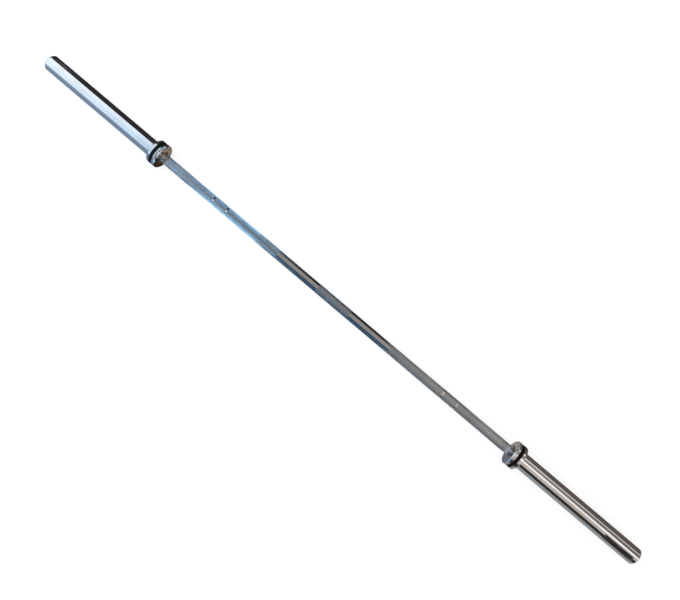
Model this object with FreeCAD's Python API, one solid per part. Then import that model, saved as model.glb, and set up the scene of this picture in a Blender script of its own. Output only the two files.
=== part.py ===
"""Olympic barbell: a knurled steel shaft with a freely turning plate sleeve on each end.

Millimetres. The bar's axis is X, the middle of the bar is the origin, and Z is up.
Each sleeve turns on the shaft in a flanged bronze bush and two caged needle bearings. The shaft's shoulder
stops it on the inside, a washer and a circlip keep it on the shaft, and a plain cap closes its end.
"""

import FreeCAD
import Part
import math
import os

# The whole bar
BAR_LENGTH = 2200.0
GRIP_LENGTH = 1310.0  # from collar face to collar face

# Shaft: the grip's finish along its length, and its turned-down ends
GRIP_DIAMETER = 28.5
SHOULDER_HEIGHT = 1.75  # step from the grip down to the bearing journal
SHOULDER_FILLET = 0.8
CENTRE_KNURL_LENGTH = 120.0
SMOOTH_LENGTH = 150.0  # plain steel on each side of the centre knurl
PLAIN_AT_COLLAR = 20.0  # plain steel between the side knurl and the collar
OUTER_MARK_SPACING = 910.0  # weightlifting ring marks, centre to centre
MARK_STEP = 50.0  # the powerlifting marks stand this much nearer the middle
MARK_WIDTH = 5.0
KNURL_RISE = 0.15  # rolled crests stand proud of the plain steel
KNURL_RUN_OUT = 0.5
SHAFT_CHAMFER = 1.5

# Sleeve and collar
SLEEVE_DIAMETER = 50.0
SLEEVE_CHAMFER = 2.5
PLATE_STOP_HEIGHT = 13.0  # how far the collar stands out from the sleeve
COLLAR_WIDTH = 32.0
COLLAR_CHAMFER = 2.5
COLLAR_WEB = 4.0  # wall between the bush's flange and the end of the sleeve
SPIGOT_STEP = 2.0  # the sleeve's end is turned down this much to press into the collar
RELIEF_WIDTH = 1.5  # groove round the sleeve that lets a plate seat flat on the collar
RELIEF_DEPTH = 2.0
MOUTH_DEPTH = 4.0  # recess in the collar's face where the grip goes in
MOUTH_GAP = 4.75  # open ring between the grip and the recess's wall
MOUTH_CHAMFER = 0.8

# Rubber band in the collar's groove
BAND_WIDTH = 10.5
BAND_THICKNESS = 4.0
BAND_INSET = 0.4  # the band lies this far below the collar's rim
BAND_ROUND = 1.2

# Flanged bronze bush
BUSH_FLANGE_THICKNESS = 4.0
BUSH_LENGTH = 34.0
BUSH_CHAMFER = 1.0

# Needle bearings
CUP_LENGTH = 20.0
CUP_WALL = 1.0
NEEDLE_DIAMETER = 2.5
NEEDLE_SPACING = 1.6  # in needle diameters, round the pitch circle
CAGE_THICKNESS = 1.0
CAGE_RIM = 1.5
BEARING_GAP = 3.0  # from a bearing to the bush or shoulder beside it
BEARING_STEP = 0.8  # the sleeve's bore narrows by this between the two bearings

# Sleeve end: washer, circlips and cap
WASHER_SEAT = 1.5  # width of the shoulder that carries the thrust washer
WASHER_THICKNESS = 2.5
SHAFT_CLIP_THICKNESS = 1.2
SHAFT_CLIP_WIDTH = 3.0
SHAFT_GROOVE_DEPTH = 0.6
SHAFT_LAND = 4.0  # shaft beyond its circlip
END_SPACE = 4.0  # between the shaft's end and the cap
CAP_LEDGE = 1.0  # step that the cap sits on
CAP_THICKNESS = 4.0
CAP_DISH_DEPTH = 0.6
CAP_DISH_RIM = 4.5
CAP_RECESS = 2.5  # the cap's circlip lies this far inside the sleeve's end
CAP_MOUTH_CHAMFER = 0.6
CAP_CLIP_THICKNESS = 1.5
CAP_CLIP_WIDTH = 3.6
CAP_GROOVE_DEPTH = 1.2
LUG_HOLE_DIAMETER = 2.0
LUG_WALL = 1.2
CLIP_GAP_WIDTH = 5.0

# Clearances
RUNNING_CLEARANCE = 0.03  # radial, bush on journal
NEEDLE_CLEARANCE = 0.02  # radial, needle to journal and to cup
POCKET_CLEARANCE = 0.06  # needle to the sides of its pocket
CAGE_END_PLAY = 0.25
END_FLOAT = 0.3  # axial play of the sleeve on the shaft
GROOVE_PLAY = 0.05  # each side of a circlip in its groove
LOOSE_CLEARANCE = 0.2  # radial, round the washer, the cap and the band's sides

# Radii
grip_radius = GRIP_DIAMETER / 2
crest_radius = grip_radius + KNURL_RISE
journal_radius = grip_radius - SHOULDER_HEIGHT
race_radius = journal_radius + NEEDLE_DIAMETER
pitch_radius = (journal_radius + race_radius) / 2
seat_radius = race_radius + CUP_WALL
middle_bore_radius = seat_radius - BEARING_STEP
sleeve_radius = SLEEVE_DIAMETER / 2
spigot_radius = sleeve_radius - SPIGOT_STEP
relief_radius = sleeve_radius + RELIEF_WIDTH
collar_radius = sleeve_radius + PLATE_STOP_HEIGHT
mouth_radius = grip_radius + MOUTH_GAP
band_radius = collar_radius - BAND_INSET
groove_floor_radius = band_radius - BAND_THICKNESS
washer_radius = seat_radius + WASHER_SEAT
chamber_radius = washer_radius + LOOSE_CLEARANCE
cap_pocket_radius = chamber_radius + CAP_LEDGE
cap_groove_radius = cap_pocket_radius + CAP_GROOVE_DEPTH
shaft_groove_radius = journal_radius - SHAFT_GROOVE_DEPTH

# Stations along one end of the bar, measured outwards from the collar's face
flange_start = MOUTH_DEPTH
flange_end = flange_start + BUSH_FLANGE_THICKNESS
sleeve_start = flange_end + COLLAR_WEB
spigot_end = COLLAR_WIDTH - RELIEF_DEPTH
bush_end = flange_start + BUSH_LENGTH
shoulder = flange_start - END_FLOAT
sleeve_end = (BAR_LENGTH - GRIP_LENGTH) / 2
cap_groove_end = sleeve_end - CAP_RECESS
cap_groove_start = cap_groove_end - CAP_CLIP_THICKNESS - 2 * GROOVE_PLAY
cap_face = cap_groove_start + GROOVE_PLAY
cap_ledge = cap_face - CAP_THICKNESS
shaft_end = cap_ledge - END_SPACE
shaft_groove_end = shaft_end - SHAFT_LAND
shaft_groove_start = shaft_groove_end - SHAFT_CLIP_THICKNESS - 2 * GROOVE_PLAY
shaft_clip_start = shaft_groove_start + GROOVE_PLAY
washer_shoulder = shaft_clip_start - END_FLOAT - WASHER_THICKNESS
inner_bearing_start = bush_end + BEARING_GAP
inner_bearing_end = inner_bearing_start + CUP_LENGTH
outer_bearing_start = washer_shoulder - BEARING_GAP - CUP_LENGTH

AXIS = FreeCAD.Vector(1, 0, 0)
CENTRE = FreeCAD.Vector(0, 0, 0)


def outline(corners):
    """Closed wire through (station, radius) corners. A third value rounds a corner with a tangent arc."""
    points = [FreeCAD.Vector(corner[0], corner[1], 0) for corner in corners]
    edges = []
    arrivals = []
    departures = []
    for number, here in enumerate(points):
        rounding = corners[number][2] if len(corners[number]) > 2 else 0
        if not rounding:
            arrivals.append(here)
            departures.append(here)
            continue
        back = (points[number - 1] - here).normalize()
        ahead = (points[(number + 1) % len(points)] - here).normalize()
        half_angle = back.getAngle(ahead) / 2
        reach = rounding / math.tan(half_angle)
        bisector = (back + ahead).normalize()
        middle = here + bisector * (rounding / math.sin(half_angle) - rounding)
        arrivals.append(here + back * reach)
        departures.append(here + ahead * reach)
        edges.append(Part.Arc(arrivals[-1], middle, departures[-1]).toShape())
    for number, start in enumerate(departures):
        edges.append(Part.LineSegment(start, arrivals[(number + 1) % len(points)]).toShape())
    return Part.Wire(Part.__sortEdges__(edges))


def turned(corners):
    """Solid turned about the bar's axis from a closed outline."""
    return Part.Face(outline(corners)).revolve(CENTRE, AXIS, 360)


def disc(radius, start, end, height=0.0, across=0.0):
    """Cylinder along the bar between two stations, moved sideways to (across, height)."""
    return Part.makeCylinder(radius, end - start, FreeCAD.Vector(start, across, height), AXIS)


def ring(outer, inner, start, end):
    """Plain tube between two stations."""
    return disc(outer, start, end).cut(disc(inner, start, end))


def make_shaft():
    """One bar of steel: knurled and plain grip, ring marks, journals and circlip grooves."""
    half_grip = GRIP_LENGTH / 2
    outer_mark = OUTER_MARK_SPACING / 2
    inner_mark = outer_mark - MARK_STEP
    half_mark = MARK_WIDTH / 2
    side_knurl_start = CENTRE_KNURL_LENGTH / 2 + SMOOTH_LENGTH
    side_knurl_end = half_grip - PLAIN_AT_COLLAR
    side_bands = [
        (side_knurl_start, inner_mark - half_mark),
        (inner_mark + half_mark, outer_mark - half_mark),
        (outer_mark + half_mark, side_knurl_end),
    ]
    half = [
        (CENTRE_KNURL_LENGTH / 2 - KNURL_RUN_OUT, crest_radius),
        (CENTRE_KNURL_LENGTH / 2, grip_radius),
    ]
    for start, end in side_bands:
        half += [
            (start, grip_radius),
            (start + KNURL_RUN_OUT, crest_radius),
            (end - KNURL_RUN_OUT, crest_radius),
            (end, grip_radius),
        ]
    half += [
        (half_grip + shoulder, grip_radius),
        (half_grip + shoulder, journal_radius, SHOULDER_FILLET),
        (half_grip + shaft_groove_start, journal_radius),
        (half_grip + shaft_groove_start, shaft_groove_radius),
        (half_grip + shaft_groove_end, shaft_groove_radius),
        (half_grip + shaft_groove_end, journal_radius),
        (half_grip + shaft_end - SHAFT_CHAMFER, journal_radius),
        (half_grip + shaft_end, journal_radius - SHAFT_CHAMFER),
        (half_grip + shaft_end, 0),
    ]
    other_half = [(-corner[0], *corner[1:]) for corner in reversed(half)]
    return turned(other_half + half)


def make_sleeve():
    """Chromed tube that carries the plates, bored for the bearings and stepped for the end parts."""
    end_wall = sleeve_radius - cap_pocket_radius - CAP_MOUTH_CHAMFER
    chamfer = min(SLEEVE_CHAMFER, end_wall / 2)
    return turned(
        [
            (sleeve_start, seat_radius),
            (sleeve_start, spigot_radius),
            (spigot_end, spigot_radius),
            (spigot_end, sleeve_radius),
            (sleeve_end - chamfer, sleeve_radius),
            (sleeve_end, sleeve_radius - chamfer),
            (sleeve_end, cap_pocket_radius + CAP_MOUTH_CHAMFER),
            (sleeve_end - CAP_MOUTH_CHAMFER, cap_pocket_radius),
            (cap_groove_end, cap_pocket_radius),
            (cap_groove_end, cap_groove_radius),
            (cap_groove_start, cap_groove_radius),
            (cap_groove_start, cap_pocket_radius),
            (cap_ledge, cap_pocket_radius),
            (cap_ledge, chamber_radius),
            (washer_shoulder, chamber_radius),
            (washer_shoulder, seat_radius),
            (outer_bearing_start, seat_radius),
            (outer_bearing_start, middle_bore_radius),
            (inner_bearing_end, middle_bore_radius),
            (inner_bearing_end, seat_radius),
        ]
    )


def make_collar():
    """Stepped ring pressed on the sleeve's inner end, with a groove for the band and a mouth for the grip."""
    groove_half = BAND_WIDTH / 2 + LOOSE_CLEARANCE
    groove_start = COLLAR_WIDTH / 2 - groove_half
    groove_end = COLLAR_WIDTH / 2 + groove_half
    return turned(
        [
            (0, mouth_radius + MOUTH_CHAMFER),
            (0, collar_radius - COLLAR_CHAMFER),
            (COLLAR_CHAMFER, collar_radius),
            (groove_start, collar_radius),
            (groove_start, groove_floor_radius),
            (groove_end, groove_floor_radius),
            (groove_end, collar_radius),
            (COLLAR_WIDTH - COLLAR_CHAMFER, collar_radius),
            (COLLAR_WIDTH, collar_radius - COLLAR_CHAMFER),
            (COLLAR_WIDTH, relief_radius),
            (spigot_end, relief_radius),
            (spigot_end, spigot_radius),
            (sleeve_start, spigot_radius),
            (sleeve_start, seat_radius),
            (flange_end, seat_radius),
            (flange_end, mouth_radius),
            (MOUTH_CHAMFER, mouth_radius),
        ]
    )


def make_collar_band():
    """Rubber ring stretched into the collar's groove."""
    start = COLLAR_WIDTH / 2 - BAND_WIDTH / 2
    end = COLLAR_WIDTH / 2 + BAND_WIDTH / 2
    return turned(
        [
            (start, groove_floor_radius),
            (start, band_radius, BAND_ROUND),
            (end, band_radius, BAND_ROUND),
            (end, groove_floor_radius),
        ]
    )


def make_collar_bush():
    """Flanged bronze bush in the collar and sleeve. Its flange meets the shaft's shoulder."""
    bore_radius = journal_radius + RUNNING_CLEARANCE
    return turned(
        [
            (flange_start + BUSH_CHAMFER, bore_radius),
            (flange_start, bore_radius + BUSH_CHAMFER),
            (flange_start, mouth_radius),
            (flange_end, mouth_radius),
            (flange_end, seat_radius),
            (bush_end - BUSH_CHAMFER, seat_radius),
            (bush_end, seat_radius - BUSH_CHAMFER),
            (bush_end, bore_radius),
        ]
    )


def make_bearing_cup(start):
    """Drawn steel cup with a turned-in lip at both ends."""
    end = start + CUP_LENGTH
    lip_radius = pitch_radius - CAGE_THICKNESS / 2
    return turned(
        [
            (start, lip_radius),
            (start, seat_radius, CUP_WALL / 2),
            (end, seat_radius, CUP_WALL / 2),
            (end, lip_radius),
            (end - CUP_WALL, lip_radius),
            (end - CUP_WALL, race_radius),
            (start + CUP_WALL, race_radius),
            (start + CUP_WALL, lip_radius),
        ]
    )


def needle_angles():
    """Evenly spaced angles of the needles, in degrees."""
    count = int(2 * math.pi * pitch_radius / (NEEDLE_DIAMETER * NEEDLE_SPACING))
    return [360 * number / count for number in range(count)]


def cage_span(start):
    """Stations of a cage's two ends in the cup that starts at this station."""
    inset = CUP_WALL + CAGE_END_PLAY
    return start + inset, start + CUP_LENGTH - inset


def make_bearing_cage(start):
    """Pressed ring with a pocket for each needle."""
    cage_start, cage_end = cage_span(start)
    cage = ring(pitch_radius + CAGE_THICKNESS / 2, pitch_radius - CAGE_THICKNESS / 2, cage_start, cage_end)
    pocket_length = cage_end - cage_start - 2 * CAGE_RIM
    pocket_width = NEEDLE_DIAMETER + 2 * (POCKET_CLEARANCE - NEEDLE_CLEARANCE)
    corner = FreeCAD.Vector(cage_start + CAGE_RIM, -pocket_width / 2, journal_radius)
    pockets = []
    for angle in needle_angles():
        pocket = Part.makeBox(pocket_length, pocket_width, NEEDLE_DIAMETER, corner)
        pocket.rotate(CENTRE, AXIS, angle)
        pockets.append(pocket)
    return cage.cut(pockets)


def make_bearing_needles(start):
    """Full set of loose needles, one in each pocket of the cage."""
    cage_start, cage_end = cage_span(start)
    needle_start = cage_start + CAGE_RIM + POCKET_CLEARANCE
    needle_end = cage_end - CAGE_RIM - POCKET_CLEARANCE
    needle_radius = NEEDLE_DIAMETER / 2 - NEEDLE_CLEARANCE
    needles = []
    for angle in needle_angles():
        needle = disc(needle_radius, needle_start, needle_end, height=pitch_radius)
        needle.rotate(CENTRE, AXIS, angle)
        needles.append(needle)
    return Part.makeCompound(needles)


def make_thrust_washer():
    """Hardened washer between the sleeve's shoulder and the shaft's circlip."""
    end = washer_shoulder + WASHER_THICKNESS
    return ring(washer_radius, journal_radius + LOOSE_CLEARANCE, washer_shoulder, end)


def clip_lugs(radius, start, end):
    """The two plier lugs of a circlip, centred at this radius beside its gap, and their holes."""
    lug_radius = LUG_HOLE_DIAMETER / 2 + LUG_WALL
    aside = CLIP_GAP_WIDTH / 2 + lug_radius
    height = math.sqrt(radius**2 - aside**2)
    lugs = [disc(lug_radius, start, end, height, across) for across in (-aside, aside)]
    holes = [disc(LUG_HOLE_DIAMETER / 2, start, end, height, across) for across in (-aside, aside)]
    return lugs, holes


def clip_gap(start, end, reach):
    """The opening at the top of a circlip."""
    corner = FreeCAD.Vector(start, -CLIP_GAP_WIDTH / 2, 0)
    return Part.makeBox(end - start, CLIP_GAP_WIDTH, reach, corner)


def make_shaft_circlip():
    """Spring ring in the shaft's groove, with its lugs outside the ring."""
    start = shaft_clip_start
    end = start + SHAFT_CLIP_THICKNESS
    outer = shaft_groove_radius + SHAFT_CLIP_WIDTH
    lugs, holes = clip_lugs(outer, start, end)
    body = disc(outer, start, end).fuse(lugs)
    openings = [disc(shaft_groove_radius, start, end), clip_gap(start, end, 2 * outer)]
    return body.cut(openings + holes).removeSplitter()


def make_end_cap():
    """Plain steel disc on the sleeve's ledge, with a shallow turned dish."""
    cap_radius = cap_pocket_radius - LOOSE_CLEARANCE
    dish_radius = cap_radius - CAP_DISH_RIM
    return turned(
        [
            (cap_ledge, 0),
            (cap_ledge, cap_radius),
            (cap_face, cap_radius),
            (cap_face, dish_radius),
            (cap_face - CAP_DISH_DEPTH, dish_radius - CAP_DISH_DEPTH),
            (cap_face - CAP_DISH_DEPTH, 0),
        ]
    )


def make_end_cap_circlip():
    """Spring ring in the sleeve's groove, with its lugs inside the ring."""
    start = cap_face
    end = start + CAP_CLIP_THICKNESS
    inner = cap_groove_radius - CAP_CLIP_WIDTH
    lugs, holes = clip_lugs(inner, start, end)
    body = ring(cap_groove_radius, inner, start, end).fuse(lugs)
    return body.cut([clip_gap(start, end, 2 * cap_groove_radius)] + holes).removeSplitter()


def place(shape, side):
    """A piece of one end, moved from its stations to the right end or turned round to the left end."""
    placed = shape.copy()
    placed.translate(AXIS * (GRIP_LENGTH / 2))
    if side == "left":
        placed.rotate(CENTRE, FreeCAD.Vector(0, 0, 1), 180)
    return placed


end_pieces = {
    "sleeve": make_sleeve(),
    "collar": make_collar(),
    "collar_band": make_collar_band(),
    "collar_bush": make_collar_bush(),
    "inner_bearing_cup": make_bearing_cup(inner_bearing_start),
    "inner_bearing_cage": make_bearing_cage(inner_bearing_start),
    "inner_bearing_needles": make_bearing_needles(inner_bearing_start),
    "outer_bearing_cup": make_bearing_cup(outer_bearing_start),
    "outer_bearing_cage": make_bearing_cage(outer_bearing_start),
    "outer_bearing_needles": make_bearing_needles(outer_bearing_start),
    "thrust_washer": make_thrust_washer(),
    "shaft_circlip": make_shaft_circlip(),
    "end_cap": make_end_cap(),
    "end_cap_circlip": make_end_cap_circlip(),
}

nodes = {"shaft": make_shaft()}
for side in ("left", "right"):
    for piece, shape in end_pieces.items():
        nodes[f"{side}_{piece}"] = place(shape, side)

os.makedirs("parts", exist_ok=True)
for name, shape in nodes.items():
    shape.exportStep(f"parts/{name}.step")
    volumes = [round(solid.Volume, 1) for solid in shape.Solids]
    print(f"{name}: {len(volumes)} solids, {sum(volumes):.1f} mm3, valid {shape.isValid()}")
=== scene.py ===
import math

import bmesh
import bpy
from mathutils import Matrix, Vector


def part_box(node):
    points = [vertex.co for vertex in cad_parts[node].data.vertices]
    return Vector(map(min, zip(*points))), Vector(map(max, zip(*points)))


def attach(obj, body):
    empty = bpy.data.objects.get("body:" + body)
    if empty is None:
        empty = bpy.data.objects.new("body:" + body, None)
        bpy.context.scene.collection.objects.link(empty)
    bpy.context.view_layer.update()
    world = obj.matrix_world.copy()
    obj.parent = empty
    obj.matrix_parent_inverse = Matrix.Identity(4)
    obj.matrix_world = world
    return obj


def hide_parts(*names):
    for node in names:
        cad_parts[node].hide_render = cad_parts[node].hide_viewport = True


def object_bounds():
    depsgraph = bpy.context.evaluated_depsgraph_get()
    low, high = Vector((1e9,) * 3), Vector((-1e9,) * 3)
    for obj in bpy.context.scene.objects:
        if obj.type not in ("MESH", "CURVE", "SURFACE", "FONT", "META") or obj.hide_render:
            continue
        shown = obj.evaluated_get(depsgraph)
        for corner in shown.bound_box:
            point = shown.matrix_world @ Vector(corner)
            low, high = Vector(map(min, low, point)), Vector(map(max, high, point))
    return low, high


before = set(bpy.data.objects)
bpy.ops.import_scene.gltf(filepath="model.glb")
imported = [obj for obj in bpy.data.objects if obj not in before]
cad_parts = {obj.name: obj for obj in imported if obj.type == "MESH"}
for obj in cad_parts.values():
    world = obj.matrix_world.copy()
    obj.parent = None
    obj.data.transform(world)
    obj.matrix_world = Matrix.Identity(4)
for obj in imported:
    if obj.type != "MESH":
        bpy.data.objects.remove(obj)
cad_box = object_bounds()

# Shaft
# One bar of spring steel, turned at both ends and hard chromed. Diamond knurls are rolled into its grip,
# with smooth rings left as hand marks. Each end is a ground journal with a groove for a circlip.
MM = 0.001
collar_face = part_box("right_collar")[0].x
shaft_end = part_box("shaft")[1].x
knurl_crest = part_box("shaft")[1].z
shaft_clip_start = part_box("right_shaft_circlip")[0].x
shaft_clip_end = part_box("right_shaft_circlip")[1].x
grip_radius = 14.25 * MM
journal_radius = 12.5 * MM
shaft_groove_radius = 11.9 * MM
groove_play = 0.05 * MM
shoulder_depth = 3.7 * MM
shoulder = collar_face + shoulder_depth
shaft_chamfer = 1.5 * MM
centre_knurl_end = 60 * MM
side_knurl_start = 210 * MM
neck_length = 20 * MM
side_knurl_end = collar_face - neck_length
inner_mark = 405 * MM
outer_mark = 455 * MM
half_mark = 2.5 * MM
knurls_around = 56
knurl_root = 14.20 * MM
knurl_run_out = 0.12 * MM
knurl_slant = math.radians(30)
knurl_length = math.tau * knurl_root / knurls_around / math.tan(knurl_slant)
machined_edge = 0.25 * MM
corner_step = 1.5 * MM
long_wall = 6 * MM
same_place = 0.001 * MM
turned_corner = math.radians(40)
shaded_corner = math.radians(18)


def turn(stations, steps, ring):
    """A shape turned about the bar's axis from (station, radius) points. A ring's outline is closed."""
    shape = bmesh.new()
    points = [shape.verts.new((station, 0, radius)) for station, radius in stations]
    followers = points[1:] + points[:1] if ring else points[1:]
    lines = [shape.edges.new(pair) for pair in zip(points, followers)]
    # A long line is split close to its corners, so that a rounded corner doesn't tilt the wall's shading.
    for line in lines:
        if line.calc_length() > long_wall:
            for corner in tuple(line.verts):
                bmesh.utils.edge_split(line, corner, corner_step / line.calc_length())
    bmesh.ops.spin(
        shape,
        geom=shape.verts[:] + shape.edges[:],
        cent=(0, 0, 0),
        axis=(1, 0, 0),
        dvec=(0, 0, 0),
        angle=math.tau,
        steps=steps,
        use_merge=True,
    )
    bmesh.ops.remove_doubles(shape, verts=shape.verts, dist=same_place)
    bmesh.ops.recalc_face_normals(shape, faces=shape.faces)
    return shape


def round_edges(shape, edges, size, segments):
    """Rounds these edges of a shape."""
    bmesh.ops.bevel(
        shape,
        geom=edges,
        offset=size,
        affect="EDGES",
        segments=segments,
        profile=0.5,
        material=-1,
        clamp_overlap=True,
    )


def break_corners(shape, size):
    """Takes the sharpness off every turned corner."""
    corners = [edge for edge in shape.edges if edge.calc_face_angle(0) > turned_corner]
    round_edges(shape, corners, size, segments=2)


def finished(name, shape, *materials):
    """The shape as an object of the scene, shaded smooth between its corners."""
    shape.normal_update()
    for edge in shape.edges:
        edge.smooth = edge.calc_face_angle(math.pi) < shaded_corner
    for face in shape.faces:
        face.smooth = True
    mesh = bpy.data.meshes.new(name)
    shape.to_mesh(mesh)
    shape.free()
    for material in materials:
        mesh.materials.append(material)
    made = bpy.data.objects.new(name, mesh)
    bpy.context.scene.collection.objects.link(made)
    return made


def feed(tree, made, feeds):
    """Sets a node's inputs to other nodes' outputs, to colours or to plain values."""
    for name, value in feeds.items():
        socket = made.inputs[name]
        if isinstance(value, bpy.types.NodeSocket):
            tree.links.new(value, socket)
        elif socket.type == "RGBA":
            socket.default_value = (*value, 1)
        else:
            socket.default_value = value


def add(tree, kind, feeds, **settings):
    """Adds a shader node and returns its first output."""
    made = tree.nodes.new("ShaderNode" + kind)
    for name, value in settings.items():
        setattr(made, name, value)
    feed(tree, made, feeds)
    return made.outputs[0]


def calculate(tree, operation, *values):
    """A sum, product or other calculation on values that change over the surface."""
    return add(tree, "Math", dict(enumerate(values)), operation=operation)


def mix_colours(tree, share, first, second):
    """The first colour where the share is 0 and the second where it is 1."""
    made = tree.nodes.new("ShaderNodeMix")
    made.data_type = "RGBA"
    feed(tree, made, {0: share, 6: first, 7: second})
    return made.outputs[2]


def shader_group(name, inputs, outputs):
    """An empty group of shader nodes with these named sockets."""
    group = bpy.data.node_groups.new(name, "ShaderNodeTree")
    for label, kind in inputs.items():
        group.interface.new_socket(label, in_out="INPUT", socket_type="NodeSocket" + kind)
    for label in outputs:
        group.interface.new_socket(label, in_out="OUTPUT", socket_type="NodeSocketFloat")
    return group, group.nodes.new("NodeGroupInput").outputs, group.nodes.new("NodeGroupOutput")


def place_group(tree, group, feeds):
    """Puts a group of shader nodes into a material, with its own values."""
    made = tree.nodes.new("ShaderNodeGroup")
    made.node_tree = group
    feed(tree, made, feeds)
    return made.outputs


def new_material(name):
    """A material, its nodes, its Principled shader and its Object coordinates."""
    material = bpy.data.materials.new(name)
    material.use_nodes = True
    tree = material.node_tree
    place = tree.nodes.new("ShaderNodeTexCoord").outputs["Object"]
    return material, tree, tree.nodes["Principled BSDF"], place


# Rings left by the cutting tool. They follow the station on a turned wall and the radius on a turned face.
lathe_rings, given, results = shader_group(
    "lathe_rings", {"Place": "Vector", "Rings per metre": "Float"}, ("Rings", "Radius")
)
parts = lathe_rings.nodes.new("ShaderNodeSeparateXYZ")
feed(lathe_rings, parts, {0: given["Place"]})
square = calculate(lathe_rings, "MULTIPLY", parts.outputs["Y"], parts.outputs["Y"])
radius = calculate(
    lathe_rings,
    "SQRT",
    calculate(lathe_rings, "MULTIPLY_ADD", parts.outputs["Z"], parts.outputs["Z"], square),
)
section = add(lathe_rings, "CombineXYZ", {"X": parts.outputs["X"], "Y": radius})
rings = add(
    lathe_rings,
    "TexNoise",
    {"Vector": section, "Scale": given["Rings per metre"], "Detail": 3.0, "Roughness": 0.65},
    noise_dimensions="2D",
)
feed(lathe_rings, results, {"Rings": rings, "Radius": radius})

# Marks of handling: soft cloudy smudges, with specks of dulled plating inside them.
handling, given, results = shader_group(
    "handling", {"Place": "Vector", "Smudges per metre": "Float"}, ("Smudge", "Specks")
)
clouds = add(
    handling,
    "TexNoise",
    {"Vector": given["Place"], "Scale": given["Smudges per metre"], "Detail": 5.0, "Roughness": 0.6},
)
smudge = add(
    handling,
    "MapRange",
    {"Value": clouds, "From Min": 0.38, "From Max": 0.68},
    interpolation_type="SMOOTHSTEP",
)
grains = add(handling, "TexVoronoi", {"Vector": given["Place"], "Scale": 420.0})
specks = add(
    handling,
    "MapRange",
    {"Value": grains, "From Min": 0.05, "From Max": 0.22, "To Min": 1.0, "To Max": 0.0},
)
specks = calculate(handling, "MULTIPLY", specks, smudge)
feed(handling, results, {"Smudge": smudge, "Specks": specks})

hand_smudges = 26.0
ring_dulling = 0.5


def turned_metal(name, bright, dull, smooth, rough, rings_per_metre, ring_depth):
    """Turned metal: bright and smooth where it is clean, dull and rougher where hands have marked it."""
    material, tree, shader, place = new_material(name)
    rings = place_group(tree, lathe_rings, {"Place": place, "Rings per metre": rings_per_metre})
    marks = place_group(tree, handling, {"Place": place, "Smudges per metre": hand_smudges})
    worn = calculate(tree, "MULTIPLY_ADD", rings["Rings"], ring_dulling, marks["Smudge"])
    worn = calculate(tree, "MAXIMUM", worn, marks["Specks"])
    sheen = {"Value": worn, "From Min": 0.1, "From Max": 1.2, "To Min": smooth, "To Max": rough}
    relief = {"Height": rings["Rings"], "Strength": 0.35, "Distance": ring_depth}
    feed(
        tree,
        shader,
        {
            "Base Color": mix_colours(tree, marks["Smudge"], bright, dull),
            "Roughness": add(tree, "MapRange", sheen),
            "Normal": add(tree, "Bump", relief),
            "Metallic": 1.0,
        },
    )
    return material


shaft_chrome = turned_metal(
    "shaft_chrome",
    bright=(0.80, 0.80, 0.81),
    dull=(0.73, 0.72, 0.71),
    smooth=0.05,
    rough=0.13,
    rings_per_metre=2600.0,
    ring_depth=0.004 * MM,
)

# The knurl darkens into its grooves, as painted shade and skin oil; its points are polished by hands.
groove_grime_and_shade = (0.46, 0.455, 0.45)
polished_point = (0.90, 0.90, 0.91)
smudge_dulling = -0.3
knurled_chrome, tree, shader, place = new_material("knurled_chrome")
rings = place_group(tree, lathe_rings, {"Place": place, "Rings per metre": 900.0})
marks = place_group(tree, handling, {"Place": place, "Smudges per metre": 18.0})
# The base colour goes from the points' colour down to the groove colour with depth: painted shade, with
# skin oil.
height = add(
    tree,
    "MapRange",
    {"Value": rings["Radius"], "From Min": knurl_root, "From Max": knurl_crest},
    interpolation_type="SMOOTHSTEP",
)
polish_and_shade = calculate(tree, "MULTIPLY_ADD", marks["Smudge"], smudge_dulling, height)
feed(
    tree,
    shader,
    {
        "Base Color": mix_colours(tree, polish_and_shade, groove_grime_and_shade, polished_point),
        "Roughness": add(tree, "MapRange", {"Value": polish_and_shade, "To Min": 0.42, "To Max": 0.24}),
        "Metallic": 1.0,
    },
)

right_bands = [
    (side_knurl_start, inner_mark - half_mark),
    (inner_mark + half_mark, outer_mark - half_mark),
    (outer_mark + half_mark, side_knurl_end),
]
left_bands = [(-end, -start) for start, end in reversed(right_bands)]
grip = []
for start, end in left_bands + [(-centre_knurl_end, centre_knurl_end)] + right_bands:
    first_row = start + knurl_run_out
    knurled = end - knurl_run_out - first_row
    rows = round(knurled / knurl_length)
    grip.append((start, grip_radius))
    grip.extend((first_row + knurled * row / rows, knurl_root) for row in range(rows + 1))
    grip.append((end, grip_radius))
right_journal = [
    (shoulder, grip_radius),
    (shoulder, journal_radius),
    (shaft_clip_start - groove_play, journal_radius),
    (shaft_clip_start - groove_play, shaft_groove_radius),
    (shaft_clip_end + groove_play, shaft_groove_radius),
    (shaft_clip_end + groove_play, journal_radius),
    (shaft_end - shaft_chamfer, journal_radius),
    (shaft_end, journal_radius - shaft_chamfer),
    (shaft_end, 0),
]
left_journal = [(-station, radius) for station, radius in reversed(right_journal)]
shape = turn(left_journal + grip + right_journal, knurls_around, ring=False)
break_corners(shape, machined_edge)


def on_knurl_root(face):
    """Whether every corner of a face is at the bottom of the knurl's grooves."""
    return all(abs(vert.co.yz.length - knurl_root) < same_place for vert in face.verts)


# Each cell of the turned grid is split from its middle, and the grid's own edges are taken out again. That
# leaves slanted diamonds, and each diamond's middle is then raised to a point.
cells = set(filter(on_knurl_root, shape.faces))
grid = {edge for cell in cells for edge in cell.edges if cells.issuperset(edge.link_faces)}
middles = bmesh.ops.poke(shape, faces=list(cells), center_mode="MEAN")["verts"]
for vert in middles:
    vert.co.yz = vert.co.yz.normalized() * knurl_root
bmesh.ops.dissolve_edges(shape, edges=list(grid))
diamonds = [face for face in shape.faces if len(face.verts) == 4 and on_knurl_root(face)]
knurl = bmesh.ops.poke(shape, faces=diamonds, center_mode="MEAN")
for vert in knurl["verts"]:
    vert.co.yz = vert.co.yz.normalized() * knurl_crest
for face in knurl["faces"] + list(filter(on_knurl_root, shape.faces)):
    face.material_index = 1

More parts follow.
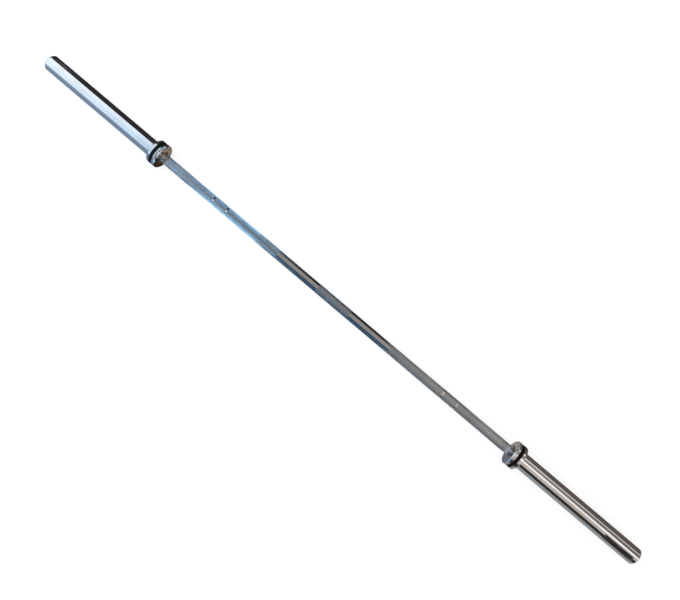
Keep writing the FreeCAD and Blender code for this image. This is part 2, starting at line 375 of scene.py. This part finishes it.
# The map for the shaft's textures is five strips in a stack. The way along the surface goes across the map,
# and the turn round the bar goes up each strip. Otherwise each facet of the knurl would be its own island.
strip_starts = (-shaft_end - knurl_root, -shoulder, -side_knurl_start, side_knurl_start, shoulder)
strip_length = 460 * MM
strip_margin = 3 * MM
strip_fill = 0.94
bake_map = shape.loops.layers.uv.new("OFBake")
for face in shape.faces:
    middle = face.calc_center_median()
    strip = sum(middle.x > start for start in strip_starts[1:])
    for corner in face.loops:
        spot = corner.vert.co
        along = spot.x + math.copysign(max(knurl_root - spot.yz.length, 0), spot.x)
        turned = math.atan2(middle.y, middle.z) + middle.yz.angle_signed(spot.yz, 0)
        across = (along - strip_starts[strip] + strip_margin) / strip_length
        upwards = (strip + 0.5 + strip_fill * turned / math.tau) / len(strip_starts)
        corner[bake_map].uv = (across, upwards)
shaft_bar = finished("shaft_bar", shape, shaft_chrome, knurled_chrome)
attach(shaft_bar, "shaft")
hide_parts("shaft")

# Sleeves
# The tubes that carry the plates: steel, bored for the bearings, chromed and polished, with faint lines
# that sliding plates leave along them. Each is turned down at its inner end to press into its collar, and
# has a plain panel printed dark near its outer end.
SIDES = ("left", "right")
around = 128
sleeve_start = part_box("right_sleeve")[0].x
sleeve_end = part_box("right_sleeve")[1].x
sleeve_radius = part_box("right_sleeve")[1].z
spigot_radius = 23 * MM
relief_depth = 2 * MM
spigot_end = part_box("right_collar")[1].x - relief_depth
sleeve_chamfer = 2.5 * MM
bearing_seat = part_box("right_inner_bearing_cup")[1].z
inner_bearing_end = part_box("right_inner_bearing_cup")[1].x
outer_bearing_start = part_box("right_outer_bearing_cup")[0].x
bearing_step = 0.8 * MM
middle_bore = bearing_seat - bearing_step
washer_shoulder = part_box("right_thrust_washer")[0].x
loose_fit = 0.2 * MM
chamber_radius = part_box("right_thrust_washer")[1].z + loose_fit
cap_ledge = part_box("right_end_cap")[0].x
cap_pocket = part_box("right_end_cap")[1].z + loose_fit
cap_mouth_chamfer = 0.6 * MM
cap_groove_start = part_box("right_end_cap_circlip")[0].x - groove_play
cap_groove_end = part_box("right_end_cap_circlip")[1].x + groove_play
cap_groove_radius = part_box("right_end_cap_circlip")[1].y
panel_length = 97 * MM
panel_width = 15.5 * MM
panel_inset = 15 * MM
panel_middle = sleeve_end - panel_inset - panel_length / 2
left_panel_turn = math.radians(47)
right_panel_turn = math.radians(-30)
clean_chrome = (0.82, 0.83, 0.84)
worn_chrome = (0.77, 0.765, 0.76)
panel_ink = (0.022, 0.019, 0.020)
ink_roughness = 0.5
line_wear = 0.8
line_depth = -0.6
line_through_ink = -0.5


def to_side(shape, side):
    """Turns a shape made for the right end round to the left end."""
    if side == "left":
        half_turn = Matrix.Rotation(math.pi, 3, "Z")
        bmesh.ops.rotate(shape, verts=shape.verts, cent=(0, 0, 0), matrix=half_turn)


sleeve_chrome, tree, shader, place = new_material("sleeve_chrome")
rings = place_group(tree, lathe_rings, {"Place": place, "Rings per metre": 1800.0})
marks = place_group(tree, handling, {"Place": place, "Smudges per metre": 14.0})
along_bar = add(tree, "Mapping", {"Vector": place, "Scale": (9.0, 620.0, 620.0)})
slid = add(tree, "TexNoise", {"Vector": along_bar, "Scale": 1.0, "Detail": 2.0})
lines = add(tree, "MapRange", {"Value": slid, "From Min": 0.60, "From Max": 0.74})
worn = calculate(tree, "MAXIMUM", calculate(tree, "MULTIPLY", lines, line_wear), marks["Smudge"])
relief = calculate(tree, "MULTIPLY_ADD", lines, line_depth, rings["Rings"])
chrome = mix_colours(tree, worn, clean_chrome, worn_chrome)
sheen = add(tree, "MapRange", {"Value": worn, "To Min": 0.05, "To Max": 0.11})

# The dark panel: within half its length of its middle station, within half its width of its middle angle,
# and only on the skin, not in the bore. Lines worn along the sleeve show bright through it.
parts = tree.nodes.new("ShaderNodeSeparateXYZ")
feed(tree, parts, {0: place})
right_end = calculate(tree, "GREATER_THAN", parts.outputs["X"], 0.0)
turns = {"Value": right_end, "To Min": left_panel_turn, "To Max": right_panel_turn}
middle_turn = add(tree, "MapRange", turns)
turned = calculate(tree, "ARCTAN2", parts.outputs["Y"], parts.outputs["Z"])
arc = calculate(tree, "MULTIPLY", calculate(tree, "SUBTRACT", turned, middle_turn), sleeve_radius)
station = calculate(tree, "ABSOLUTE", parts.outputs["X"])
panel = calculate(
    tree,
    "MULTIPLY",
    calculate(tree, "COMPARE", station, panel_middle, panel_length / 2),
    calculate(tree, "COMPARE", arc, 0.0, panel_width / 2),
)
on_skin = calculate(tree, "COMPARE", rings["Radius"], sleeve_radius, machined_edge)
panel = calculate(tree, "MULTIPLY", panel, on_skin)
inked = calculate(tree, "MULTIPLY_ADD", lines, line_through_ink, 1.0)
panel = calculate(tree, "MULTIPLY", panel, inked)
feed(
    tree,
    shader,
    {
        "Base Color": mix_colours(tree, panel, chrome, panel_ink),
        "Roughness": calculate(tree, "MULTIPLY_ADD", panel, ink_roughness, sheen),
        "Normal": add(tree, "Bump", {"Height": relief, "Strength": 0.3, "Distance": 0.004 * MM}),
        "Metallic": calculate(tree, "SUBTRACT", 1.0, panel),
        "Specular IOR Level": 0.2,
    },
)

for side in SIDES:
    shape = turn(
        [
            (sleeve_start, bearing_seat),
            (sleeve_start, spigot_radius),
            (spigot_end, spigot_radius),
            (spigot_end, sleeve_radius),
            (sleeve_end - sleeve_chamfer, sleeve_radius),
            (sleeve_end, sleeve_radius - sleeve_chamfer),
            (sleeve_end, cap_pocket + cap_mouth_chamfer),
            (sleeve_end - cap_mouth_chamfer, cap_pocket),
            (cap_groove_end, cap_pocket),
            (cap_groove_end, cap_groove_radius),
            (cap_groove_start, cap_groove_radius),
            (cap_groove_start, cap_pocket),
            (cap_ledge, cap_pocket),
            (cap_ledge, chamber_radius),
            (washer_shoulder, chamber_radius),
            (washer_shoulder, bearing_seat),
            (outer_bearing_start, bearing_seat),
            (outer_bearing_start, middle_bore),
            (inner_bearing_end, middle_bore),
            (inner_bearing_end, bearing_seat),
        ],
        around,
        ring=True,
    )
    break_corners(shape, machined_edge)
    to_side(shape, side)
    sleeve = finished(f"{side}_sleeve_tube", shape, sleeve_chrome)
    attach(sleeve, f"{side}_sleeve")
    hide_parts(f"{side}_sleeve")

# Collars
# The stepped rings that stop the plates: steel, turned and chromed like the sleeves, and pressed on their
# inner ends. Each has a groove round its rim for a band, and a wide mouth where the grip goes in.
collar_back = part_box("right_collar")[1].x
collar_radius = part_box("right_collar")[1].z
collar_chamfer = 2.5 * MM
band_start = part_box("right_collar_band")[0].x
band_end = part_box("right_collar_band")[1].x
band_play = 0.2 * MM
band_thickness = 4 * MM
band_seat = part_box("right_collar_band")[1].z - band_thickness
relief_width = 1.5 * MM
relief_radius = sleeve_radius + relief_width
flange_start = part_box("right_collar_bush")[0].x
flange_thickness = 4 * MM
flange_end = flange_start + flange_thickness
mouth_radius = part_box("right_collar_bush")[1].z
mouth_chamfer = 0.8 * MM

collar_chrome = turned_metal(
    "collar_chrome",
    bright=(0.80, 0.80, 0.81),
    dull=(0.70, 0.69, 0.68),
    smooth=0.045,
    rough=0.12,
    rings_per_metre=1500.0,
    ring_depth=0.01 * MM,
)

for side in SIDES:
    shape = turn(
        [
            (collar_face, mouth_radius + mouth_chamfer),
            (collar_face, collar_radius - collar_chamfer),
            (collar_face + collar_chamfer, collar_radius),
            (band_start - band_play, collar_radius),
            (band_start - band_play, band_seat),
            (band_end + band_play, band_seat),
            (band_end + band_play, collar_radius),
            (collar_back - collar_chamfer, collar_radius),
            (collar_back, collar_radius - collar_chamfer),
            (collar_back, relief_radius),
            (spigot_end, relief_radius),
            (spigot_end, spigot_radius),
            (sleeve_start, spigot_radius),
            (sleeve_start, bearing_seat),
            (flange_end, bearing_seat),
            (flange_end, mouth_radius),
            (collar_face + mouth_chamfer, mouth_radius),
        ],
        around,
        ring=True,
    )
    break_corners(shape, machined_edge)
    to_side(shape, side)
    collar = finished(f"{side}_collar_ring", shape, collar_chrome)
    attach(collar, f"{side}_sleeve")
    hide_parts(f"{side}_collar")

# Collar bands
# Plain rings of black rubber, moulded with rounded edges and a fine grain. Each is stretched over its
# collar and lies in the groove, a little below the rim.
band_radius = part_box("right_collar_band")[1].z
band_round = 1.2 * MM
black_rubber = (0.003, 0.003, 0.003)
dusty_rubber = (0.007, 0.007, 0.008)

band_rubber, tree, shader, place = new_material("band_rubber")
marks = place_group(tree, handling, {"Place": place, "Smudges per metre": 45.0})
grain = add(tree, "TexNoise", {"Vector": place, "Scale": 1400.0, "Detail": 4.0})
feed(
    tree,
    shader,
    {
        "Base Color": mix_colours(tree, marks["Smudge"], black_rubber, dusty_rubber),
        "Roughness": add(tree, "MapRange", {"Value": marks["Smudge"], "To Min": 0.46, "To Max": 0.64}),
        "Normal": add(tree, "Bump", {"Height": grain, "Strength": 0.35, "Distance": 0.05 * MM}),
        "Specular IOR Level": 0.1,
    },
)

for side in SIDES:
    shape = turn(
        [
            (band_start, band_seat),
            (band_start, band_radius),
            (band_end, band_radius),
            (band_end, band_seat),
        ],
        around,
        ring=True,
    )
    corners = [edge for edge in shape.edges if edge.calc_face_angle(0) > turned_corner]
    rim = [edge for edge in corners if edge.verts[0].co.yz.length > band_seat + band_round]
    round_edges(shape, rim, band_round, segments=5)
    to_side(shape, side)
    band = finished(f"{side}_band_ring", shape, band_rubber)
    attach(band, f"{side}_sleeve")
    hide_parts(f"{side}_collar_band")

# Collar bushes
# Flanged bearings of cast bronze, turned and pressed into the collars. The flange runs against the shaft's
# shoulder, and it shows as a golden ring deep in the collar's mouth.
bush_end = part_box("right_collar_bush")[1].x
running_clearance = 0.03 * MM
bush_bore = journal_radius + running_clearance
bush_chamfer = 1 * MM

bush_bronze = turned_metal(
    "bush_bronze",
    bright=(0.80, 0.52, 0.23),
    dull=(0.48, 0.29, 0.12),
    smooth=0.22,
    rough=0.48,
    rings_per_metre=1700.0,
    ring_depth=0.01 * MM,
)

for side in SIDES:
    shape = turn(
        [
            (flange_start + bush_chamfer, bush_bore),
            (flange_start, bush_bore + bush_chamfer),
            (flange_start, mouth_radius),
            (flange_end, mouth_radius),
            (flange_end, bearing_seat),
            (bush_end - bush_chamfer, bearing_seat),
            (bush_end, bearing_seat - bush_chamfer),
            (bush_end, bush_bore),
        ],
        around,
        ring=True,
    )
    break_corners(shape, machined_edge)
    to_side(shape, side)
    bush = finished(f"{side}_bush_ring", shape, bush_bronze)
    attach(bush, f"{side}_sleeve")
    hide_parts(f"{side}_collar_bush")

# Needle bearings
# Two in each sleeve: a drawn steel cup, a pressed cage and hardened needles, ground all over and oiled. The
# cups press into the sleeve's bore, and the needles roll on the shaft's journal.
cup_steel = turned_metal(
    "cup_steel",
    bright=(0.60, 0.59, 0.57),
    dull=(0.42, 0.39, 0.35),
    smooth=0.20,
    rough=0.40,
    rings_per_metre=1300.0,
    ring_depth=0.01 * MM,
)
needle_steel = turned_metal(
    "needle_steel",
    bright=(0.72, 0.72, 0.73),
    dull=(0.60, 0.58, 0.54),
    smooth=0.08,
    rough=0.20,
    rings_per_metre=3200.0,
    ring_depth=0.002 * MM,
)
cage_steel = turned_metal(
    "cage_steel",
    bright=(0.40, 0.38, 0.35),
    dull=(0.27, 0.25, 0.22),
    smooth=0.30,
    rough=0.52,
    rings_per_metre=1100.0,
    ring_depth=0.01 * MM,
)


def finish_node(node, material):
    """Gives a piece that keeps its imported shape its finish."""
    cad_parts[node].data.materials.clear()
    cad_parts[node].data.materials.append(material)


for side in SIDES:
    for bearing in ("inner_bearing", "outer_bearing"):
        finish_node(f"{side}_{bearing}_cup", cup_steel)
        finish_node(f"{side}_{bearing}_cage", cage_steel)
        finish_node(f"{side}_{bearing}_needles", needle_steel)

# Thrust washers and circlips
# A hardened washer and a circlip keep each sleeve on the shaft, and a larger circlip holds the end cap in.
# The washer is ground. The clips are stamped spring steel, phosphated dark and oiled.
washer_steel = turned_metal(
    "washer_steel",
    bright=(0.56, 0.55, 0.54),
    dull=(0.40, 0.38, 0.35),
    smooth=0.20,
    rough=0.38,
    rings_per_metre=900.0,
    ring_depth=0.01 * MM,
)

phosphate = (0.085, 0.085, 0.09)
oiled_phosphate = (0.16, 0.15, 0.145)

spring_steel, tree, shader, place = new_material("spring_steel")
marks = place_group(tree, handling, {"Place": place, "Smudges per metre": 160.0})
crystals = add(tree, "TexNoise", {"Vector": place, "Scale": 2600.0, "Detail": 3.0})
feed(
    tree,
    shader,
    {
        "Base Color": mix_colours(tree, marks["Smudge"], phosphate, oiled_phosphate),
        "Roughness": add(tree, "MapRange", {"Value": marks["Smudge"], "To Min": 0.50, "To Max": 0.34}),
        "Normal": add(tree, "Bump", {"Height": crystals, "Strength": 0.3, "Distance": 0.02 * MM}),
        "Metallic": 0.8,
    },
)

for side in SIDES:
    finish_node(f"{side}_thrust_washer", washer_steel)
    finish_node(f"{side}_shaft_circlip", spring_steel)
    finish_node(f"{side}_end_cap_circlip", spring_steel)

# End caps
# Plain steel discs with a shallow dish turned in the middle. Each drops on a ledge inside the sleeve's end,
# and the circlip in front of it holds it there.
cap_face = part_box("right_end_cap")[1].x
cap_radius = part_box("right_end_cap")[1].z
dish_rim = 4.5 * MM
dish_radius = cap_radius - dish_rim
dish_depth = 0.6 * MM

cap_steel = turned_metal(
    "cap_steel",
    bright=(0.66, 0.66, 0.67),
    dull=(0.52, 0.51, 0.50),
    smooth=0.17,
    rough=0.36,
    rings_per_metre=1200.0,
    ring_depth=0.02 * MM,
)

for side in SIDES:
    shape = turn(
        [
            (cap_ledge, 0),
            (cap_ledge, cap_radius),
            (cap_face, cap_radius),
            (cap_face, dish_radius),
            (cap_face - dish_depth, dish_radius - dish_depth),
            (cap_face - dish_depth, 0),
        ],
        around,
        ring=False,
    )
    break_corners(shape, machined_edge)
    to_side(shape, side)
    cap = finished(f"{side}_cap_disc", shape, cap_steel)
    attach(cap, f"{side}_sleeve")
    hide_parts(f"{side}_end_cap")

# Floor
# A plain white studio floor that the bar lies on. To the camera and in the metal it is white, and the bar's
# soft shadow still darkens it.
floor_level = cad_box[0].z
floor_reach = 20.0
plain_white = (1, 1, 1)
floor_white = (0.85, 0.85, 0.85)
shadow_share = (0.30, 0.30, 0.30)
floor_glow = 0.78


def to_the_eye(tree):
    """1 on rays that reach the camera straight, off metal or through glass, and 0 on other light."""
    path = tree.nodes.new("ShaderNodeLightPath").outputs
    seen = calculate(tree, "MAXIMUM", path["Is Camera Ray"], path["Is Glossy Ray"])
    return calculate(tree, "MAXIMUM", seen, path["Is Transmission Ray"])


floor_paint = bpy.data.materials.new("floor_paint")
floor_paint.use_nodes = True
tree = floor_paint.node_tree
tree.nodes.remove(tree.nodes["Principled BSDF"])
painted = add(tree, "BsdfDiffuse", {"Color": floor_white})
shaded = add(tree, "BsdfDiffuse", {"Color": shadow_share})
glow = add(tree, "Emission", {"Color": plain_white, "Strength": floor_glow})
white = add(tree, "AddShader", {0: shaded, 1: glow})
surface = add(tree, "MixShader", {0: to_the_eye(tree), 1: painted, 2: white})
feed(tree, tree.nodes["Material Output"], {"Surface": surface})

shape = bmesh.new()
bmesh.ops.create_grid(
    shape, x_segments=1, y_segments=1, size=floor_reach, matrix=Matrix.Translation((0, 0, floor_level))
)
floor = finished("floor", shape, floor_paint)

# Studio cards
# Cards, floor mats and lamps that only the bar's metal shows, because chrome in an all-white room looks
# like paper. There is daylight over the left end, a dim ceiling over the middle and lamps over the right
# end. Each span is the stretch, from left to right, that one part of the bar mirrors into the camera.
card_distance = 2.2
lamp_distance = 2.15
floor_angle = 91
card_facets = 24
past_left_end = (-4.6, -2.75)
over_left_sleeve = (-2.75, -1.68)
over_left_neck = (-1.68, -1.57)
over_left_grip = (-1.57, -0.66)
over_left_marks = (-1.24, -1.02)
over_middle = (-0.66, 0.40)
over_right_grip = (0.40, 1.31)
over_right_marks = (0.78, 0.965)
over_right_neck = (1.31, 1.41)
over_right_sleeve = (1.41, 3.2)
by_left_sleeve = (-4.6, -0.66)
by_left_collar = (-0.66, -0.56)
by_left_grip = (-0.56, -0.30)
by_left_marks = (-0.60, -0.43)
by_middle = (-0.30, 0.21)
by_right_grip = (0.21, 0.60)
by_right_marks = (0.41, 0.51)
by_right_collar = (0.60, 0.66)
by_right_sleeve = (0.66, 3.2)
behind_bar = (0, card_distance)
far_behind_bar = (0.1, card_distance)
before_bar = (-card_distance, 0)
both_sides = (-card_distance, card_distance)
mat_lift = 0.2 * MM
marks_mat_lift = 0.4 * MM
daylight = (0.84, 0.99, 1.17)
white_daylight = (1.09, 1.17, 1.22)
pale_daylight = (0.97, 1.10, 1.21)
blue_daylight = (0.645, 0.86, 1.10)
sky = (0.92, 1.90, 2.95)
low_sky = (0.66, 1.14, 1.62)
deep_sky = (0.04, 0.09, 0.17)
haze = (0.21, 0.29, 0.40)
pale_haze = (0.29, 0.385, 0.51)
ice = (0.30, 0.34, 0.40)
slate = (0.15, 0.17, 0.22)
navy = (0.05, 0.10, 0.16)
warm_grey = (0.34, 0.31, 0.29)
pale_grey = (0.40, 0.385, 0.37)
cool_grey = (0.32, 0.33, 0.35)
tan = (0.25, 0.20, 0.155)
umber = (0.17, 0.12, 0.075)
brown = (0.12, 0.095, 0.085)
dark_brown = (0.040, 0.026, 0.017)
dark = (0.030, 0.027, 0.027)
lamp_white = (1.20, 1.16, 1.13)
lamp_beige = (0.60, 0.52, 0.47)


def card_paint(name, span, lights):
    """A card's glow: one even light, or two that blend from its left edge to its right edge."""
    material, tree, shader, place = new_material(name)
    tree.nodes.remove(shader)
    parts = tree.nodes.new("ShaderNodeSeparateXYZ")
    feed(tree, parts, {0: place})
    edges = {"Value": parts.outputs["X"], "From Min": span[0], "From Max": span[1]}
    light = mix_colours(tree, add(tree, "MapRange", edges), lights[0], lights[-1])
    glow = add(tree, "Emission", {"Color": light, "Strength": 1.0})
    feed(tree, tree.nodes["Material Output"], {"Surface": glow})
    return material


def in_reflections_only(card):
    """Hides a card from everything but reflections."""
    card.visible_camera = False
    card.visible_diffuse = False
    card.visible_transmission = False
    card.visible_shadow = False


def curved_card(name, span, first, last, lights, distance):
    """A card bent round the bar's axis between two angles, in degrees from straight up towards the back."""
    shape = bmesh.new()
    ends = [shape.verts.new((station, 0, distance)) for station in span]
    edge = shape.edges.new(ends)
    to_first = Matrix.Rotation(-math.radians(first), 3, "X")
    bmesh.ops.rotate(shape, verts=ends, cent=(0, 0, 0), matrix=to_first)
    bmesh.ops.spin(
        shape,
        geom=ends + [edge],
        cent=(0, 0, 0),
        axis=(1, 0, 0),
        dvec=(0, 0, 0),
        angle=-math.radians(last - first),
        steps=card_facets,
        use_merge=False,
    )
    in_reflections_only(finished(name, shape, card_paint(name, span, lights)))


def card_row(span, *cards, first=-floor_angle, distance=card_distance):
    """Cards edge to edge from the front to the back. Each has a name, its last angle and its lights."""
    for name, last, *lights in cards:
        curved_card(name, span, first, last, lights, distance)
        first = last


def floor_mat(name, span, depth, light, lift=mat_lift):
    """A flat mat on the floor beside the bar."""
    left, right = span
    front, back = depth
    size = Matrix.Diagonal(((right - left) / 2, (back - front) / 2, 1, 1))
    middle = Matrix.Translation(((left + right) / 2, (front + back) / 2, floor_level + lift))
    shape = bmesh.new()
    bmesh.ops.create_grid(shape, x_segments=1, y_segments=1, size=1, matrix=middle @ size)
    in_reflections_only(finished(name, shape, card_paint(name, span, [light])))


card_row(
    past_left_end,
    ("far_front", -40, haze),
    ("far_window", 25, daylight),
    ("far_back", floor_angle, slate),
)
card_row(
    over_left_sleeve,
    ("window_front", -63, pale_haze, haze),
    ("window_low", -2, pale_daylight, blue_daylight),
    ("window_high", 49, white_daylight, daylight),
    ("window_back", floor_angle, dark),
)
card_row(over_left_neck, ("left_neck_card", floor_angle, umber))
card_row(
    over_left_grip,
    ("sky_front", -54, sky),
    ("sky_high", 53, deep_sky),
    ("sky_back", floor_angle, sky),
)
card_row(over_left_marks, ("marks_front", -38, slate), ("skylight", 10, daylight), distance=lamp_distance)
card_row(over_left_marks, ("marks_back", floor_angle, dark), first=28, distance=lamp_distance)
card_row(
    over_middle,
    ("ceiling_front", -24, navy),
    ("ceiling", 56, warm_grey),
    ("ceiling_back", floor_angle, dark),
)
card_row(over_right_grip, ("wall_front", -58, haze), ("wall", floor_angle, pale_grey))
card_row(
    over_right_marks,
    ("marks_lamp_front", -45, dark),
    ("marks_lamp", 75, lamp_beige),
    ("marks_lamp_back", floor_angle, dark),
    distance=lamp_distance,
)
card_row(over_right_neck, ("right_neck_card", floor_angle, ice))
card_row(
    over_right_sleeve,
    ("lamp_low", -84, cool_grey),
    ("lamp_front", -46, dark),
    ("lamp_shade", 56, warm_grey, dark),
    ("lamp_back", floor_angle, brown),
)
card_row(
    over_right_sleeve,
    ("low_lamp", -5, lamp_beige),
    ("high_lamp", 13, lamp_white),
    first=-40,
    distance=lamp_distance,
)
card_row(over_right_sleeve, ("back_lamp", 59, lamp_white, lamp_beige), first=50, distance=lamp_distance)

floor_mat("left_back_mat", by_left_sleeve, behind_bar, dark)
floor_mat("left_front_mat", by_left_sleeve, before_bar, haze)
floor_mat("left_collar_back_mat", by_left_collar, behind_bar, tan)
floor_mat("left_collar_front_mat", by_left_collar, before_bar, dark_brown)
floor_mat("left_grip_mat", by_left_grip, both_sides, low_sky)
floor_mat("left_marks_mat", by_left_marks, far_behind_bar, dark, marks_mat_lift)
floor_mat("middle_back_mat", by_middle, behind_bar, dark)
floor_mat("middle_front_mat", by_middle, before_bar, navy)
floor_mat("right_grip_mat", by_right_grip, both_sides, cool_grey)
floor_mat("right_marks_mat", by_right_marks, behind_bar, dark, marks_mat_lift)
floor_mat("right_collar_back_mat", by_right_collar, behind_bar, warm_grey)
floor_mat("right_collar_front_mat", by_right_collar, before_bar, slate)
floor_mat("right_back_mat", by_right_sleeve, behind_bar, brown)
floor_mat("right_front_mat", by_right_sleeve, before_bar, cool_grey)

# Light
# A white room lights the bar evenly, and one large soft lamp from the left gives the shadow a side. The
# lamp itself doesn't show in the metal.
room_white = (0.97, 0.98, 1.0)
room_strength = 0.70
lamp_width = 2.0
lamp_length = 3.0
lamp_watts = 40.0
lamp_tint = (0.93, 0.97, 1.0)
lamp_place = (-1.6, -0.6, 2.4)
lamp_turn = (math.radians(-12), math.radians(-32), 0)

world = bpy.data.worlds.new("studio")
world.use_nodes = True
tree = world.node_tree
room = add(tree, "Background", {"Color": room_white, "Strength": room_strength})
white = tree.nodes["Background"]
feed(tree, white, {"Color": plain_white, "Strength": 1.0})
surface = add(tree, "MixShader", {0: to_the_eye(tree), 1: room, 2: white.outputs[0]})
feed(tree, tree.nodes["World Output"], {"Surface": surface})
bpy.context.scene.world = world

lamp = bpy.data.lights.new("soft_lamp", "AREA")
lamp.shape = "RECTANGLE"
lamp.size = lamp_width
lamp.size_y = lamp_length
lamp.energy = lamp_watts
lamp.color = lamp_tint
soft_lamp = bpy.data.objects.new("soft_lamp", lamp)
soft_lamp.location = lamp_place
soft_lamp.rotation_euler = lamp_turn
soft_lamp.visible_glossy = False
bpy.context.scene.collection.objects.link(soft_lamp)

# Camera
# It looks down on the bar from a little right of its middle. It is turned so that the bar lies across the
# picture from the upper left to the lower right.
sensor_width = 36.0
focal_length = 30.1
camera_place = (0.0921, -0.0793, 1.6313)
camera_tilt = math.radians(4.365)
camera_turn = math.radians(40.304)

lens = bpy.data.cameras.new("camera")
lens.sensor_width = sensor_width
lens.lens = focal_length
camera = bpy.data.objects.new("camera", lens)
camera.location = camera_place
camera.rotation_euler = (camera_tilt, 0, camera_turn)
bpy.context.scene.collection.objects.link(camera)
bpy.context.scene.camera = camera
bpy.context.scene.view_settings.view_transform = "Standard"
